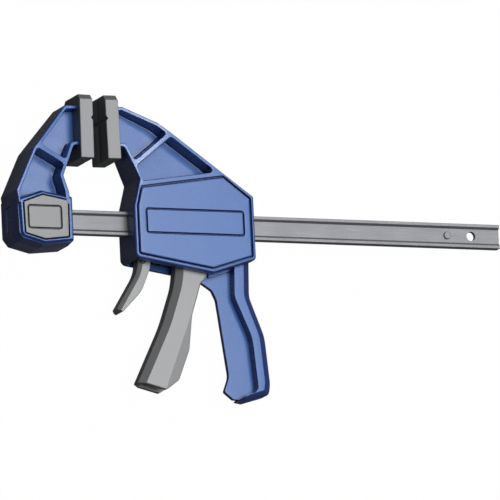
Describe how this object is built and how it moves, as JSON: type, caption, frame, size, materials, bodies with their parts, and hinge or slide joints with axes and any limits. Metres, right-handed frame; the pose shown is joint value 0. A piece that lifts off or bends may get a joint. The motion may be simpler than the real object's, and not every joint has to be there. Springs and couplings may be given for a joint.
{
  "type": "quick release bar clamp",
  "caption": "One-handed bar clamp: a squeeze lever walks the moving jaw along a steel I-section bar, a trigger releases it, and a button frees the fixed head.",
  "frame": {"origin": "on the back face of the head's back plate, below the point where the lock pin crosses the bar's axis; the clamp lies on its back", "axes": "+X along the bar from the head to the free end, +Y from the bar to the jaws' tips, +Z from the back to the front"},
  "size_m": [0.4217, 0.2444, 0.0363],
  "materials": {
    "body_blue": "satin moulded plastic with softly rounded edges",
    "lever_grey": "fine-grained moulded plastic",
    "pad_grey": "soft matt pad",
    "bar_steel": "drawn steel, lightly brushed along its length",
    "spring_steel": "bright spring wire",
    "plate_steel": "blackened steel"
  },
  "bodies": {
    "bar_assembly": {"bar": "bar_steel", "bar_stop_pin": "bar_steel", "fixed_jaw": "body_blue", "fixed_pad": "pad_grey", "head_back_plate": "body_blue", "back_plate_screws": "plate_steel", "button_springs": "spring_steel"},
    "button": {"push_button": "lever_grey", "latch_plate": "plate_steel", "lock_pin": "plate_steel"},
    "sliding_jaw": {"jaw_body": "body_blue", "side_cover": "body_blue", "cover_screws": "plate_steel", "moving_pad": "pad_grey", "lever_pin": "plate_steel", "front_guide": "lever_grey", "rear_guide": "lever_grey", "drive_spring": "spring_steel", "brake_spring": "spring_steel"},
    "lever": {"drive_lever": "lever_grey"},
    "drive_plates": {"drive_plate_front": "plate_steel", "drive_plate_rear": "plate_steel"},
    "trigger": {"release_trigger": "lever_grey", "brake_plate": "plate_steel", "trigger_rivet": "plate_steel"}
  },
  "joints": [
    {"name": "jaw_slide", "type": "slide", "parent": "bar_assembly", "child": "sliding_jaw", "axis": [1, 0, 0], "range_m": [-0.0102, 0.1725]},
    {"name": "lever_hinge", "type": "hinge", "parent": "sliding_jaw", "child": "lever", "pos_m": [0.12825, 0.0195, 0.018], "axis": [0, 0, 1], "range_deg": [0, 15], "stiffness_Nm_per_rad": 0.8, "springref_deg": -8.59},
    {"name": "drive_plate_slide", "type": "slide", "parent": "sliding_jaw", "child": "drive_plates", "axis": [1, 0, 0], "range_m": [0, 0.0092], "deforming": ["drive_spring"]},
    {"name": "trigger_hinge", "type": "hinge", "parent": "sliding_jaw", "child": "trigger", "pos_m": [0.08875, 0.021, 0.018], "axis": [0, 0, 1], "range_deg": [0, 7], "stiffness_Nm_per_rad": 0.6, "springref_deg": -5.73, "deforming": ["brake_spring"]},
    {"name": "button_push", "type": "slide", "parent": "bar_assembly", "child": "button", "axis": [0, 0, -1], "range_m": [0, 0.0045], "stiffness_N_per_m": 900, "springref_m": -0.002, "deforming": ["button_springs"]}
  ],
  "couplings": [
    {"joint": "drive_plate_slide", "follows": "lever_hinge", "m_per_rad": 0.034}
  ]
}
